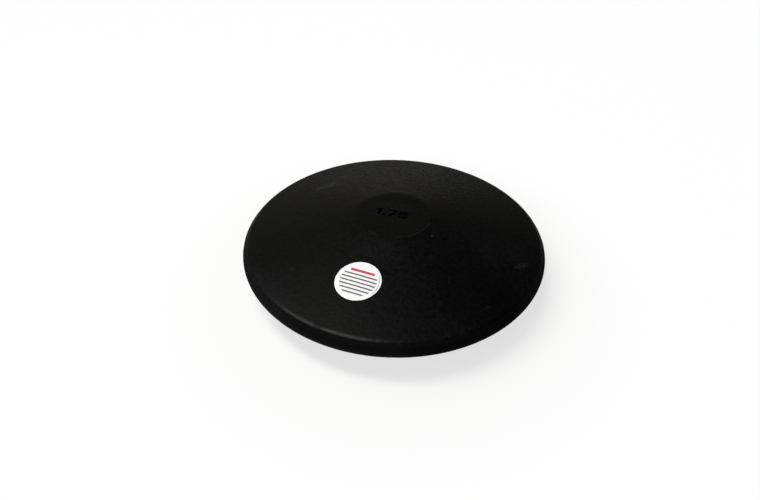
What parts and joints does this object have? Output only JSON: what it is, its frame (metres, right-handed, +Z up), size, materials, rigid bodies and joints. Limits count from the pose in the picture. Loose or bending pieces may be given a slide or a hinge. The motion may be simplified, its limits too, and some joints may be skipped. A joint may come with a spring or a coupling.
{
  "type": "discus",
  "caption": "Round practice discus of black moulded rubber with tapered faces, a flat centre circle, a full-round rim, a steel core plate inside and a white round label.",
  "frame": {"origin": "middle of the flat circle that the discus rests on, on the floor plane", "axes": "+Z up along the axis that the discus spins about; the label lies towards -Y and a little towards -X"},
  "size_m": [0.211, 0.211, 0.042],
  "materials": {
    "black_rubber": "black moulded rubber, satin, faintly mottled, with dust, fine scratches and a worn edge round the centre circle",
    "core_steel": "plain mild steel plate with a dull mill surface",
    "white_vinyl": "white adhesive vinyl, satin, with thin printed rules"
  },
  "bodies": {
    "root": {"upper_rubber_half": "black_rubber", "lower_rubber_half": "black_rubber", "steel_core_plate": "core_steel", "round_label": "white_vinyl"}
  },
  "joints": []
}
